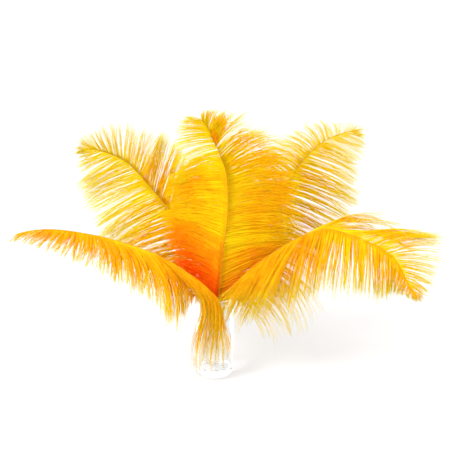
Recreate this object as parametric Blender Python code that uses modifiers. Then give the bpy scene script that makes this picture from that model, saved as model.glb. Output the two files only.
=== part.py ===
"""Five dyed ostrich feathers standing in a small clear glass vase.

Each feather is one solid: a tapered quill with a thin curved vane on both sides.  The vane follows
the barbs, which leave the shaft at an angle set station by station and bend down under their weight.
The vase is a turned open tumbler.  Metres, +Z up, the centre of the vase's foot at the origin.
"""

import math
from dataclasses import dataclass

import bmesh
import bpy
import numpy as np

COLLECTION = "ostrich_feather_bunch"

# Vase
VASE_HEIGHT = 0.103
VASE_RIM_RADIUS = 0.0245
VASE_FOOT_RADIUS = 0.0215
VASE_WALL = 0.0025
VASE_FLOOR = 0.008
VASE_HEEL_RADIUS = 0.004
VASE_STEPS = 48
RIM_CLEARANCE = 0.004

# Feathers
VANE_THICKNESS = 0.0009
VANE_ROWS = 20
VANE_COLUMNS = 5
QUILL_BASE_RADIUS = 0.0019
QUILL_TIP_RADIUS = 0.0008
QUILL_SAMPLES = 26
SAMPLES = 200
DOWN = np.array([0.0, 0.0, -1.0])
FRONT = np.array([0.0, -1.0, 0.0])


@dataclass(frozen=True)
class Station:
    """Barbs at one place along a shaft: fraction, length, and how they lie."""

    at: float
    reach: float
    around: float
    sweep: float
    curl: float
    fall: float


@dataclass(frozen=True)
class Feather:
    """One feather: its centre line, quill end, two rows of barbs and any loose basal lock."""

    name: str
    quill: tuple
    shaft: tuple
    left: tuple
    right: tuple
    lock: tuple = ()


FEATHERS = (
    Feather(
        "feather_center",
        quill=((0.000, 0.002, 0.0098), (0.003, 0.0015, 0.058)),
        shaft=((0.005, 0.001, 0.101), (0.009, 0.006, 0.149), (0.016, 0.014, 0.206), (0.014, 0.015, 0.254),
               (0.007, 0.011, 0.276), (-0.006, -0.005, 0.311), (-0.014, -0.014, 0.325)),
        left=(Station(.06, .054, 172, 44, .1, .5), Station(.20, .074, 173, 62, .1, .45),
              Station(.40, .075, 175, 80, .0, .3), Station(.60, .070, 175, 86, .0, .2),
              Station(.80, .058, 172, 82, -.1, .2), Station(.90, .038, 170, 52, -.1, .3),
              Station(1.0, .016, 170, 22, .0, .3)),
        right=(Station(.06, .068, 8, 50, .1, .5), Station(.30, .090, 5, 76, .05, .3),
               Station(.55, .088, 5, 74, .1, .55), Station(.72, .080, 8, 58, .2, .9),
               Station(.84, .056, 8, 46, .2, .8), Station(.93, .027, 8, 44, .1, .2),
               Station(1.0, .012, 10, 30, .0, .0)),
    ),
    Feather(
        "feather_back_left",
        quill=((0.012, 0.007, 0.0098), (0.008, 0.007, 0.058)),
        shaft=((0.001, 0.006, 0.099), (-0.012, 0.015, 0.130), (-0.044, 0.033, 0.186), (-0.081, 0.046, 0.229),
               (-0.105, 0.048, 0.256), (-0.122, 0.046, 0.267), (-0.142, 0.042, 0.275), (-0.160, 0.038, 0.277)),
        left=(Station(.08, .056, 180, 50, .1, .5), Station(.20, .078, 178, 64, .1, .6),
              Station(.40, .090, 175, 72, .0, .45), Station(.60, .084, 175, 72, .0, .3),
              Station(.78, .060, 175, 62, .0, .15), Station(.90, .032, 175, 42, .0, .1),
              Station(1.0, .009, 175, 20, .0, .0)),
        right=(Station(.08, .050, 3, 35, .3, .3), Station(.20, .060, 4, 45, .1, .3),
               Station(.45, .060, 5, 52, .0, .4), Station(.62, .056, 5, 60, -.1, .2),
               Station(.75, .046, 5, 60, -.1, .0), Station(.90, .026, 5, 50, .0, .0),
               Station(1.0, .008, 5, 20, .0, .0)),
    ),
    Feather(
        "feather_back_right",
        quill=((-0.006, 0.0125, 0.0098), (0.001, 0.013, 0.058)),
        shaft=((0.009, 0.0115, 0.097), (0.029, 0.028, 0.133), (0.055, 0.042, 0.176), (0.082, 0.050, 0.219),
               (0.104, 0.054, 0.253), (0.120, 0.053, 0.273), (0.147, 0.045, 0.293), (0.172, 0.034, 0.301)),
        left=(Station(.08, .045, 184, 45, .1, .3), Station(.30, .060, 182, 50, .1, .3),
              Station(.50, .062, 178, 66, -.1, .4), Station(.65, .058, 175, 80, -.1, .6),
              Station(.80, .034, 175, 82, -.2, .5), Station(.90, .018, 175, 70, -.2, .3),
              Station(1.0, .008, 175, 20, .0, .0)),
        right=(Station(.08, .060, 0, 50, .1, .4), Station(.30, .080, 3, 68, .1, .5),
               Station(.50, .088, 5, 76, .0, .4), Station(.70, .072, 5, 68, .0, .4),
               Station(.88, .042, 5, 45, .0, .3), Station(1.0, .009, 5, 14, .0, .0)),
    ),
    Feather(
        "feather_front_left",
        quill=((0.010, -0.010, 0.0098), (0.008, -0.010, 0.058)),
        shaft=((0.003, -0.0095, 0.101), (-0.017, -0.018, 0.126), (-0.034, -0.026, 0.143),
               (-0.067, -0.042, 0.170), (-0.102, -0.056, 0.189), (-0.134, -0.066, 0.202),
               (-0.185, -0.080, 0.214), (-0.218, -0.086, 0.211)),
        left=(Station(.14, .086, 125, 136, .3, 1.6), Station(.22, .080, 125, 122, .9, 2.0),
              Station(.35, .072, 125, 102, .9, 1.8), Station(.50, .054, 130, 76, .7, 1.2),
              Station(.65, .038, 135, 48, .4, .8), Station(.80, .024, 138, 30, .2, .4),
              Station(.92, .016, 135, 26, .0, .2), Station(1.0, .009, 120, 30, .0, .1)),
        right=(Station(.14, .050, -130, 90, .2, 2.0), Station(.30, .060, -130, 80, .5, 1.8),
               Station(.50, .046, -130, 60, .4, 1.4), Station(.65, .034, -140, 36, .2, .9),
               Station(.80, .022, -135, 26, .1, .4), Station(1.0, .008, -110, 30, .0, .1)),
        lock=(((-0.030, -0.0243, 0.1395), (-0.017, -0.036, 0.114), (-0.020, -0.040, 0.086), (-0.029, -0.040, 0.046)),
              ((-0.021, -0.020, 0.1305), (-0.008, -0.033, 0.110), (-0.012, -0.037, 0.078), (-0.018, -0.038, 0.032)),
              ((-0.013, -0.0165, 0.1215), (0.000, -0.031, 0.107), (-0.002, -0.035, 0.072), (-0.006, -0.036, 0.022)),
              ((-0.006, -0.0135, 0.1125), (0.007, -0.030, 0.104), (0.009, -0.033, 0.072), (0.012, -0.034, 0.034))),
    ),
    Feather(
        "feather_front_right",
        quill=((-0.008, -0.004, 0.0098), (0.001, -0.0035, 0.058)),
        shaft=((0.009, -0.004, 0.101), (0.031, -0.014, 0.128), (0.057, -0.024, 0.155), (0.094, -0.038, 0.188),
               (0.128, -0.052, 0.205), (0.150, -0.060, 0.203), (0.172, -0.068, 0.197), (0.204, -0.077, 0.180),
               (0.221, -0.083, 0.151), (0.231, -0.086, 0.135)),
        left=(Station(.12, .066, -20, 84, .1, 1.4), Station(.20, .080, -25, 72, .1, 1.2),
              Station(.30, .080, -40, 60, .1, 1.3), Station(.40, .060, -60, 40, .1, 1.0),
              Station(.48, .062, -105, 28, .0, .6), Station(.57, .074, -145, 34, .1, .7),
              Station(.70, .078, -160, 48, .1, .65), Station(.82, .058, -165, 52, .0, .5),
              Station(.92, .032, -165, 48, .0, .3), Station(1.0, .008, -165, 20, .0, .2)),
        right=(Station(.12, .068, 60, 146, .1, .9), Station(.20, .086, 60, 148, .0, 1.0),
               Station(.30, .092, 58, 138, .0, 1.3), Station(.38, .090, 50, 116, .1, 1.7),
               Station(.46, .082, 40, 92, .1, 1.8), Station(.55, .078, 35, 70, .1, 1.8),
               Station(.70, .064, 30, 60, .0, 1.6), Station(.82, .042, 20, 55, .0, 1.0),
               Station(.92, .018, 10, 45, .0, .5), Station(1.0, .006, 40, 20, .0, .3)),
    ),
)


def clear_scene() -> None:
    """Remove every object of the start scene."""
    for item in list(bpy.data.objects):
        bpy.data.objects.remove(item, do_unlink=True)


def make_collection(name: str) -> bpy.types.Collection:
    """Return a new collection linked to the scene."""
    collection = bpy.data.collections.new(name)
    bpy.context.scene.collection.children.link(collection)
    return collection


def make_material(name: str, colour: tuple, roughness: float, **values) -> bpy.types.Material:
    """Return a Principled material with a plain colour and roughness."""
    material = bpy.data.materials.new(name)
    material.use_nodes = True
    shader = material.node_tree.nodes["Principled BSDF"]
    shader.inputs["Base Color"].default_value = colour
    shader.inputs["Roughness"].default_value = roughness
    shader.inputs["Metallic"].default_value = 0.0
    for socket, value in values.items():
        shader.inputs[socket.replace("_", " ")].default_value = value
    return material


def smooth_path(points, count: int) -> np.ndarray:
    """Return count points evenly spaced along a smooth curve through the given ones."""
    p = np.asarray(points, float)
    t = np.concatenate([[0.0], np.cumsum(np.sqrt(np.linalg.norm(np.diff(p, axis=0), axis=1)))])
    slope = np.empty_like(p)
    before = (p[1:-1] - p[:-2]) / (t[1:-1] - t[:-2])[:, None]
    after = (p[2:] - p[1:-1]) / (t[2:] - t[1:-1])[:, None]
    span = (t[2:] - t[:-2])[:, None]
    slope[1:-1] = (before * (t[2:] - t[1:-1])[:, None] + after * (t[1:-1] - t[:-2])[:, None]) / span
    slope[0] = 2.0 * (p[1] - p[0]) / (t[1] - t[0]) - slope[1]
    slope[-1] = 2.0 * (p[-1] - p[-2]) / (t[-1] - t[-2]) - slope[-2]
    u = np.linspace(0.0, t[-1], count * 4)
    k = np.clip(np.searchsorted(t, u, side="right") - 1, 0, len(t) - 2)
    h = (t[k + 1] - t[k])[:, None]
    x = (u - t[k])[:, None] / h
    dense = ((2 * x**3 - 3 * x**2 + 1) * p[k] + (x**3 - 2 * x**2 + x) * h * slope[k]
             + (3 * x**2 - 2 * x**3) * p[k + 1] + (x**3 - x**2) * h * slope[k + 1])
    length = np.concatenate([[0.0], np.cumsum(np.linalg.norm(np.diff(dense, axis=0), axis=1))])
    even = np.linspace(0.0, length[-1], count)
    return np.stack([np.interp(even, length, dense[:, i]) for i in range(3)], axis=-1)


def unit(vectors: np.ndarray) -> np.ndarray:
    """Return the vectors scaled to length one."""
    return vectors / np.maximum(np.linalg.norm(vectors, axis=-1, keepdims=True), 1e-9)


def keep_off_vase(points: np.ndarray) -> np.ndarray:
    """Push points that come down near the mouth outward, past the rim."""
    radius = np.hypot(points[..., 0], points[..., 1])
    near = np.clip((VASE_HEIGHT + 0.013 - points[..., 2]) / 0.010, 0.0, 1.0)
    wanted = (VASE_RIM_RADIUS + RIM_CLEARANCE) * near * near * (3.0 - 2.0 * near)
    scale = np.where(radius < wanted, wanted / np.maximum(radius, 1e-6), 1.0)
    moved = points.copy()
    moved[..., 0] *= scale
    moved[..., 1] *= scale
    return moved


def barb_paths(feather: Feather, stations: tuple, at: np.ndarray, along: np.ndarray) -> np.ndarray:
    """Return points of the barbs that leave the shaft at the given fractions."""
    centre = smooth_path(feather.shaft, SAMPLES)
    tangent = unit(np.gradient(centre, axis=0))
    knots = np.linspace(0.0, 1.0, SAMPLES)
    root = np.stack([np.interp(at, knots, centre[:, i]) for i in range(3)], axis=-1)
    axis = unit(np.stack([np.interp(at, knots, tangent[:, i]) for i in range(3)], axis=-1))
    facing = unit(FRONT - (axis @ FRONT)[:, None] * axis)
    side = np.cross(axis, facing)
    where = [s.at for s in stations]
    reach = np.interp(at, where, [s.reach for s in stations])[:, None, None]
    around = np.radians(np.interp(at, where, [s.around for s in stations]))[:, None]
    sweep = np.radians(np.interp(at, where, [s.sweep for s in stations]))[:, None]
    curl = np.interp(at, where, [s.curl for s in stations])[:, None, None]
    fall = np.interp(at, where, [s.fall for s in stations])[:, None, None]
    start = np.cos(sweep) * axis + np.sin(sweep) * (np.cos(around) * side + np.sin(around) * facing)
    fine = np.linspace(0.0, 1.0, 41)
    middle = ((fine[1:] + fine[:-1]) / 2.0)[None, :, None]
    heading = unit(start[:, None, :] + axis[:, None, :] * curl * middle + DOWN * fall * middle**1.3)
    steps = heading * np.diff(fine)[None, :, None] * reach
    path = root[:, None, :] + np.concatenate([np.zeros_like(root)[:, None, :], np.cumsum(steps, axis=1)], axis=1)
    path = keep_off_vase(path)
    index = np.rint(along * 40).astype(int)
    return path[:, index, :]


def sheet_object(name: str, points: np.ndarray, collection: bpy.types.Collection) -> bpy.types.Object:
    """Return a thin closed sheet whose middle runs through a rows by columns array of points."""
    rows, columns = points.shape[:2]
    bm = bmesh.new()
    bmesh.ops.create_grid(bm, x_segments=rows - 1, y_segments=columns - 1, size=1.0)
    for vert in bm.verts:
        row = int(round((vert.co.x + 1.0) / 2.0 * (rows - 1)))
        column = int(round((vert.co.y + 1.0) / 2.0 * (columns - 1)))
        vert.co = points[row, column]
    mesh = bpy.data.meshes.new(name)
    bm.to_mesh(mesh)
    bm.free()
    item = bpy.data.objects.new(name, mesh)
    collection.objects.link(item)
    solid = item.modifiers.new("thickness", "SOLIDIFY")
    solid.thickness = VANE_THICKNESS
    solid.offset = 0.0
    solid.use_even_offset = False
    return item


def vane_object(feather: Feather, collection: bpy.types.Collection) -> bpy.types.Object:
    """Return the sheet of both rows of barbs, joined along the shaft."""
    first = min(feather.left[0].at, feather.right[0].at)
    at = first + (1.0 - first) * np.linspace(0.0, 1.0, VANE_ROWS)
    along = np.linspace(0.0, 1.0, VANE_COLUMNS)
    left = barb_paths(feather, feather.left, at, along)
    right = barb_paths(feather, feather.right, at, along)
    points = np.concatenate([left[:, ::-1, :], right[:, 1:, :]], axis=1)
    return sheet_object(feather.name + "_vane", points, collection)


def lock_object(feather: Feather, collection: bpy.types.Collection) -> bpy.types.Object:
    """Return the sheet of the loose basal barbs that hang over the rim."""
    points = np.stack([smooth_path(guide, 9) for guide in feather.lock])
    return sheet_object(feather.name + "_lock", points, collection)


def quill_object(feather: Feather, collection: bpy.types.Collection) -> bpy.types.Object:
    """Return the quill and shaft as one tapered round rod with closed ends."""
    path = smooth_path(feather.quill + feather.shaft, QUILL_SAMPLES)[:-1]
    curve = bpy.data.curves.new(feather.name + "_quill", "CURVE")
    curve.dimensions = "3D"
    curve.bevel_depth = 1.0
    curve.bevel_resolution = 1
    curve.use_fill_caps = True
    spline = curve.splines.new("POLY")
    spline.points.add(len(path) - 1)
    for index, (point, place) in enumerate(zip(spline.points, path)):
        share = index / (len(path) - 1)
        point.co = (*place, 1.0)
        point.radius = QUILL_BASE_RADIUS + (QUILL_TIP_RADIUS - QUILL_BASE_RADIUS) * share
    source = bpy.data.objects.new(feather.name + "_curve", curve)
    collection.objects.link(source)
    bpy.context.view_layer.update()
    mesh = bpy.data.meshes.new_from_object(source.evaluated_get(bpy.context.evaluated_depsgraph_get()))
    bpy.data.objects.remove(source, do_unlink=True)
    bm = bmesh.new()
    bm.from_mesh(mesh)
    bmesh.ops.remove_doubles(bm, verts=bm.verts, dist=1e-5)
    bmesh.ops.recalc_face_normals(bm, faces=bm.faces)
    bm.to_mesh(mesh)
    bm.free()
    mesh.name = feather.name
    item = bpy.data.objects.new(feather.name, mesh)
    collection.objects.link(item)
    return item


def hide_tool(item: bpy.types.Object) -> None:
    """Show a joining tool as wire only and keep it out of renders."""
    item.hide_render = True
    item.display_type = "WIRE"


def join_solid(base: bpy.types.Object, tool: bpy.types.Object) -> None:
    """Unite a tool solid with a base solid."""
    hide_tool(tool)
    union = base.modifiers.new("join_" + tool.name, "BOOLEAN")
    union.operation = "UNION"
    union.solver = "EXACT"
    union.object = tool


def build_feather(feather: Feather, parts: bpy.types.Collection, tools: bpy.types.Collection,
                  material: bpy.types.Material) -> bpy.types.Object:
    """Build one feather as a single solid."""
    item = quill_object(feather, parts)
    if feather.lock:
        join_solid(item, lock_object(feather, tools))
    join_solid(item, vane_object(feather, tools))
    item.data.materials.append(material)
    return item


def arc(centre_x: float, centre_z: float, radius: float, start: float, end: float, count: int) -> list:
    """Return points of an arc in the X-Z plane, angles in degrees."""
    angles = np.radians(np.linspace(start, end, count))
    return [(centre_x + radius * math.cos(a), centre_z + radius * math.sin(a)) for a in angles]


def build_vase(parts: bpy.types.Collection, material: bpy.types.Material) -> bpy.types.Object:
    """Turn the open glass vase from its section, from the inner floor over the rim to the foot."""
    rim = VASE_WALL / 2.0
    inner_foot = VASE_FOOT_RADIUS - VASE_WALL
    inner_heel = VASE_HEEL_RADIUS
    section = [(0.0, VASE_FLOOR)]
    section += arc(inner_foot - inner_heel, VASE_FLOOR + inner_heel, inner_heel, -90.0, 0.0, 4)
    section += arc(VASE_RIM_RADIUS - rim, VASE_HEIGHT - rim, rim, 180.0, 0.0, 6)
    section += arc(VASE_FOOT_RADIUS - VASE_HEEL_RADIUS, VASE_HEEL_RADIUS, VASE_HEEL_RADIUS, 0.0, -90.0, 5)
    section += [(0.0, 0.0)]
    bm = bmesh.new()
    verts = [bm.verts.new((x, 0.0, z)) for x, z in section]
    for first, second in zip(verts, verts[1:]):
        bm.edges.new((first, second))
    mesh = bpy.data.meshes.new("vase")
    bm.to_mesh(mesh)
    bm.free()
    item = bpy.data.objects.new("vase", mesh)
    parts.objects.link(item)
    screw = item.modifiers.new("turn", "SCREW")
    screw.axis = "Z"
    screw.angle = math.tau
    screw.steps = VASE_STEPS
    screw.render_steps = VASE_STEPS
    screw.use_merge_vertices = True
    screw.merge_threshold = 1e-5
    item.data.materials.append(material)
    return item


def main() -> None:
    """Build the vase and the five feathers."""
    clear_scene()
    parts = make_collection(COLLECTION)
    tools = make_collection("tools")
    glass = make_material("clear_glass", (0.95, 0.97, 0.97, 1.0), 0.03, Transmission_Weight=1.0, IOR=1.5)
    dyed = make_material("dyed_feather", (1.0, 0.48, 0.02, 1.0), 0.6)
    build_vase(parts, glass)
    for feather in FEATHERS:
        build_feather(feather, parts, tools, dyed)


main()
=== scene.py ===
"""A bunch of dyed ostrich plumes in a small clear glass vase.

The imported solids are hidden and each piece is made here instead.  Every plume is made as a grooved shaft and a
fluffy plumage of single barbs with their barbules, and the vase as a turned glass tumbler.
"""

import logging
import math
from dataclasses import dataclass
from enum import Enum

import bpy
import numpy as np
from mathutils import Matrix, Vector

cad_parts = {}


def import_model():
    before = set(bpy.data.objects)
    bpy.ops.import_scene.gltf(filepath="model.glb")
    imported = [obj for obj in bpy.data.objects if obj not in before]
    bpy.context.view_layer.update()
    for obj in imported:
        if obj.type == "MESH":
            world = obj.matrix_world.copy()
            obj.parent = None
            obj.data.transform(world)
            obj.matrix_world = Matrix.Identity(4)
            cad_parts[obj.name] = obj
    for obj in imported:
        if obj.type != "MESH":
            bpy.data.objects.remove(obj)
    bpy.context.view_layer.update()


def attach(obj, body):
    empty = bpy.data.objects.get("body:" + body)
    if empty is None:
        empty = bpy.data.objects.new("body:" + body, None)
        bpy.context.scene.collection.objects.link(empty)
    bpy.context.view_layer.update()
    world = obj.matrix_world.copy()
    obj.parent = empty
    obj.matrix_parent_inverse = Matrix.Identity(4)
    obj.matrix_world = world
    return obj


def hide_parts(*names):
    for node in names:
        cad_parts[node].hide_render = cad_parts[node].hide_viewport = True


LOG = logging.getLogger("plumes")
DOWN = np.array([0.0, 0.0, -1.0])
FRONT = np.array([0.0, -1.0, 0.0])
SHAFT_POINTS = 240
GUIDE_POINTS = 60


class Row(Enum):
    """The two rows of barbs on a shaft, as seen from the front with the tip up."""

    LEFT = "left"
    RIGHT = "right"


# ---- Curves, small array helpers and mesh clean-up ----


def unit(vectors: np.ndarray) -> np.ndarray:
    """Return the vectors scaled to length one."""
    return vectors / np.maximum(np.linalg.norm(vectors, axis=-1, keepdims=True), 1e-9)


def sample(points: np.ndarray, places: np.ndarray, at: np.ndarray) -> np.ndarray:
    """Read a path off at other places along it.

    Args:
        points: The path, count by 3.
        places: Where each of its points is.
        at: The places wanted.

    Returns:
        A point for each place.
    """
    return np.stack([np.interp(at, places, points[:, i]) for i in range(3)], axis=-1)


def smooth_path(points: tuple, count: int) -> np.ndarray:
    """Run a smooth curve through a few points.

    Args:
        points: The points, each (x, y, z) in metres.
        count: How many evenly spaced points to return.

    Returns:
        A count by 3 array.
    """
    finer = 4
    p = np.asarray(points, float)
    t = np.concatenate([[0.0], np.cumsum(np.sqrt(np.linalg.norm(np.diff(p, axis=0), axis=1)))])
    slope = np.empty_like(p)
    before = (p[1:-1] - p[:-2]) / (t[1:-1] - t[:-2])[:, None]
    after = (p[2:] - p[1:-1]) / (t[2:] - t[1:-1])[:, None]
    span = (t[2:] - t[:-2])[:, None]
    slope[1:-1] = (before * (t[2:] - t[1:-1])[:, None] + after * (t[1:-1] - t[:-2])[:, None]) / span
    slope[0] = 2.0 * (p[1] - p[0]) / (t[1] - t[0]) - slope[1]
    slope[-1] = 2.0 * (p[-1] - p[-2]) / (t[-1] - t[-2]) - slope[-2]
    u = np.linspace(0.0, t[-1], count * finer)
    k = np.clip(np.searchsorted(t, u, side="right") - 1, 0, len(t) - 2)
    h = (t[k + 1] - t[k])[:, None]
    x = (u - t[k])[:, None] / h
    dense = (
        (2 * x**3 - 3 * x**2 + 1) * p[k]
        + (x**3 - 2 * x**2 + x) * h * slope[k]
        + (3 * x**2 - 2 * x**3) * p[k + 1]
        + (x**3 - x**2) * h * slope[k + 1]
    )
    length = np.concatenate([[0.0], np.cumsum(np.linalg.norm(np.diff(dense, axis=0), axis=1))])
    return sample(dense, length, np.linspace(0.0, length[-1], count))


def drift(rng: np.random.Generator, at: np.ndarray, pitch: float, amount: float) -> np.ndarray:
    """Return a smooth random value for each place along a shaft.

    Args:
        rng: The random source.
        at: Places along the shaft, 0 to 1.
        pitch: Distance between independent values, as a share of the shaft.
        amount: The spread of the values.

    Returns:
        One value per place.
    """
    knots = np.arange(-pitch, 1.0 + 2.0 * pitch, pitch)
    return np.interp(at, knots, rng.normal(0.0, amount, len(knots)))


def add_layers(mesh: bpy.types.Mesh, along: np.ndarray, tint: np.ndarray) -> None:
    """Give each point of a mesh its place along the piece and its colour offset."""
    for label, values in (("along", along), ("tint", tint)):
        mesh.attributes.new(label, "FLOAT", "POINT").data.foreach_set("value", values.astype(np.float32))


def close_mesh(merge: float, crease: float) -> None:
    """Leave edit mode with doubles merged, faces outward and shading smooth.

    Args:
        merge: Points closer than this are merged, in metres.
        crease: Edges sharper than this stay hard, in degrees.
    """
    bpy.ops.mesh.select_all(action="SELECT")
    bpy.ops.mesh.remove_doubles(threshold=merge)
    bpy.ops.mesh.normals_make_consistent(inside=False)
    bpy.ops.object.mode_set(mode="OBJECT")
    bpy.ops.object.shade_smooth_by_angle(angle=math.radians(crease))


# ---- Materials ----


def fill(tree: bpy.types.NodeTree, node: bpy.types.Node, inputs: dict) -> None:
    """Give a node's inputs what they take.

    Args:
        tree: The tree that the node is in.
        node: The node.
        inputs: For each input, by name or number: an output to link, a number, or a red, green and blue.
    """
    for name, given in inputs.items():
        if isinstance(given, bpy.types.NodeSocket):
            tree.links.new(given, node.inputs[name])
        else:
            node.inputs[name].default_value = (*given, 1.0) if isinstance(given, tuple) else given


def add_node(tree: bpy.types.NodeTree, kind: str, out: str | int, inputs: dict | None = None,
             **settings: str | bool) -> bpy.types.NodeSocket:
    """Add a shader node and fill its inputs.

    Args:
        tree: The tree it goes in.
        kind: The node's type, after ShaderNode.
        out: The output wanted, by name or number.
        inputs: What its inputs take, as for fill.
        settings: The node's own settings, such as its operation.

    Returns:
        The output.
    """
    node = tree.nodes.new("ShaderNode" + kind)
    for name, setting in settings.items():
        setattr(node, name, setting)
    fill(tree, node, inputs or {})
    return node.outputs[out]


def add_speckle(tree: bpy.types.NodeTree, inputs: dict) -> bpy.types.NodeSocket:
    """Return a noise over the piece's own coordinates, its scale and detail as given."""
    place = add_node(tree, "TexCoord", "Object")
    return add_node(tree, "TexNoise", "Fac", {"Vector": place, **inputs})


def show_both(tree: bpy.types.NodeTree, share: float | bpy.types.NodeSocket, shader: bpy.types.Node,
              other: bpy.types.NodeSocket) -> None:
    """Show the Principled shader mixed with another, share being the other's part."""
    both = add_node(tree, "MixShader", "Shader", {"Fac": share, 1: shader.outputs["BSDF"], 2: other})
    fill(tree, tree.nodes["Material Output"], {"Surface": both})


def new_material(name: str) -> tuple[bpy.types.Material, bpy.types.NodeTree, bpy.types.Node]:
    """Make a new node material.

    Args:
        name: Its name.

    Returns:
        The material, its tree and its Principled shader.
    """
    material = bpy.data.materials.new(name)
    material.use_nodes = True
    return material, material.node_tree, material.node_tree.nodes["Principled BSDF"]


def dye_and_shade_group() -> bpy.types.NodeTree:
    """Build the dye and shade colour group: yellow where the dye is thin, orange where it took deeply or shade is
    painted in, and the tip colour toward the ends, on the barbs a darker olive that is painted shade.

    Returns:
        The group.  Inputs Along, Tint, Depth, Outward, Tip From and the three colours; outputs Colour, Fleck.
    """
    found = bpy.data.node_groups.get("dye_and_shade_colour")
    if found:
        return found
    group = bpy.data.node_groups.new("dye_and_shade_colour", "ShaderNodeTree")
    sockets = (
        ("INPUT", "NodeSocketFloat", ("Along", "Tint", "Depth", "Outward", "Tip From")),
        ("INPUT", "NodeSocketColor", ("Thin Colour", "Deep Colour", "Tip Colour")),
        ("OUTPUT", "NodeSocketColor", ("Colour",)),
        ("OUTPUT", "NodeSocketFloat", ("Fleck",)),
    )
    for side, kind, names in sockets:
        for name in names:
            group.interface.new_socket(name, in_out=side, socket_type=kind)
    given = group.nodes.new("NodeGroupInput").outputs
    fleck = add_speckle(group, {"Scale": 55.0, "Detail": 3.0})
    uneven = add_node(group, "MapRange", "Result",
                      {"Value": fleck, "From Min": 0.3, "From Max": 0.7, "To Min": -0.1, "To Max": 0.1})
    # Outward shifts the orange along each barb; below zero it paints the roots, deep in the fluff, a shade more
    # orange.
    outward = add_node(group, "Math", 0, {0: given["Along"], 1: given["Outward"], 2: given["Depth"]},
                       operation="MULTIPLY_ADD")
    tinted = add_node(group, "Math", 0, {0: outward, 1: given["Tint"]}, operation="ADD")
    dyed = add_node(group, "Math", 0, {0: tinted, 1: uneven}, operation="ADD", use_clamp=True)
    colour = add_node(group, "Mix", "Result",
                      {"Factor": dyed, "A": given["Thin Colour"], "B": given["Deep Colour"]}, data_type="RGBA")
    # Painted shade: toward a barb's end the colour goes over to the darker olive tip colour, as thin backlit
    # strands look; less so where the orange is deep.
    tip = add_node(group, "MapRange", "Result",
                   {"Value": given["Along"], "From Min": given["Tip From"], "From Max": 1.0})
    yellow_share = add_node(group, "Math", 0, {0: 1.0, 1: dyed}, operation="SUBTRACT")
    dull = add_node(group, "Math", 0, {0: tip, 1: yellow_share}, operation="MULTIPLY")
    dulled = add_node(group, "Mix", "Result", {"Factor": dull, "A": colour, "B": given["Tip Colour"]},
                      data_type="RGBA")
    fill(group, group.nodes.new("NodeGroupOutput"), {"Colour": dulled, "Fleck": fleck})
    return group


@dataclass(frozen=True)
class DyedBarbs:
    """The dyed fluff: soft, matte and glowing where light comes through.

    thin, deep and tip are its colours where the dye is thin, where it took deeply or shade is painted in, and
    toward the tips, where a darker olive is painted shade for thin backlit strands.  depth is how deeply the dye
    took overall, and outward how much more orange there is toward a barb's end; below zero it paints the roots,
    deep in the fluff, a shade more orange.
    """

    name: str
    thin: tuple = (0.95, 0.70, 0.005)
    deep: tuple = (1.0, 0.15, 0.001)
    tip: tuple = (0.78, 0.68, 0.02)
    tip_from: float = 0.5
    depth: float = 0.2
    outward: float = -0.12
    rough: tuple = (0.5, 0.75)
    specular: float = 0.06
    glow: float = 0.55

    def build(self) -> bpy.types.Material:
        """Make the material.

        Returns:
            The material.
        """
        material, tree, shader = new_material(self.name)
        dye = tree.nodes.new("ShaderNodeGroup")
        dye.node_tree = dye_and_shade_group()
        fill(tree, dye, {
            "Along": add_node(tree, "Attribute", "Fac", attribute_name="along"),
            "Tint": add_node(tree, "Attribute", "Fac", attribute_name="tint"),
            "Depth": self.depth, "Outward": self.outward, "Tip From": self.tip_from,
            "Thin Colour": self.thin, "Deep Colour": self.deep, "Tip Colour": self.tip,
        })
        colour, fleck = dye.outputs["Colour"], dye.outputs["Fleck"]
        rough = {"Value": fleck, "To Min": self.rough[0], "To Max": self.rough[1]}
        fill(tree, shader, {
            "Base Color": colour,
            "Roughness": add_node(tree, "MapRange", "Result", rough),
            "Specular IOR Level": self.specular,
        })
        if self.glow:
            show_both(tree, self.glow, shader, add_node(tree, "BsdfTranslucent", "BSDF", {"Color": colour}))
        return material


@dataclass(frozen=True)
class DyedShaft(DyedBarbs):
    """The shaft, dyed as its barbs are but deeper: horny, a little glossy, and pale at the bare quill."""

    thin: tuple = (0.56, 0.42, 0.04)
    deep: tuple = (0.55, 0.13, 0.004)
    tip: tuple = (0.70, 0.36, 0.02)
    tip_from: float = 0.6
    depth: float = 1.0
    rough: tuple = (0.4, 0.6)
    specular: float = 0.15
    glow: float = 0.0


@dataclass(frozen=True)
class ClearGlass:
    """Thick clear glass, a little uneven where it was pressed, that casts only a faint shadow."""

    name: str = "clear_glass"
    colour: tuple = (0.92, 0.93, 0.93)
    ripple: float = 0.04
    ripple_depth: float = 0.002

    def build(self) -> bpy.types.Material:
        """Make the material.

        Returns:
            The material.
        """
        material, tree, shader = new_material(self.name)
        ripples = add_speckle(tree, {"Scale": 45.0, "Detail": 1.0})
        normal = add_node(tree, "Bump", "Normal",
                          {"Strength": self.ripple, "Distance": self.ripple_depth, "Height": ripples})
        fill(tree, shader, {
            "Base Color": self.colour, "Roughness": 0.01, "IOR": 1.5, "Transmission Weight": 1.0, "Normal": normal,
        })
        show_both(tree, add_node(tree, "LightPath", "Is Shadow Ray"), shader,
                  add_node(tree, "BsdfTransparent", "BSDF"))
        return material


@dataclass(frozen=True)
class PaleBackdrop:
    """The plain pale sheet the vase stands on."""

    name: str = "pale_backdrop"
    dark: tuple = (0.52, 0.518, 0.516)
    light: tuple = (0.54, 0.538, 0.536)

    def build(self) -> bpy.types.Material:
        """Make the material.

        Returns:
            The material.
        """
        material, tree, shader = new_material(self.name)
        cloudy = add_speckle(tree, {"Scale": 6.0})
        colour = add_node(tree, "Mix", "Result", {"A": self.dark, "B": self.light, "Factor": cloudy},
                          data_type="RGBA")
        fill(tree, shader, {"Base Color": colour, "Roughness": 0.9, "Specular IOR Level": 0.1})
        return material


# ---- Barbs ----


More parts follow.
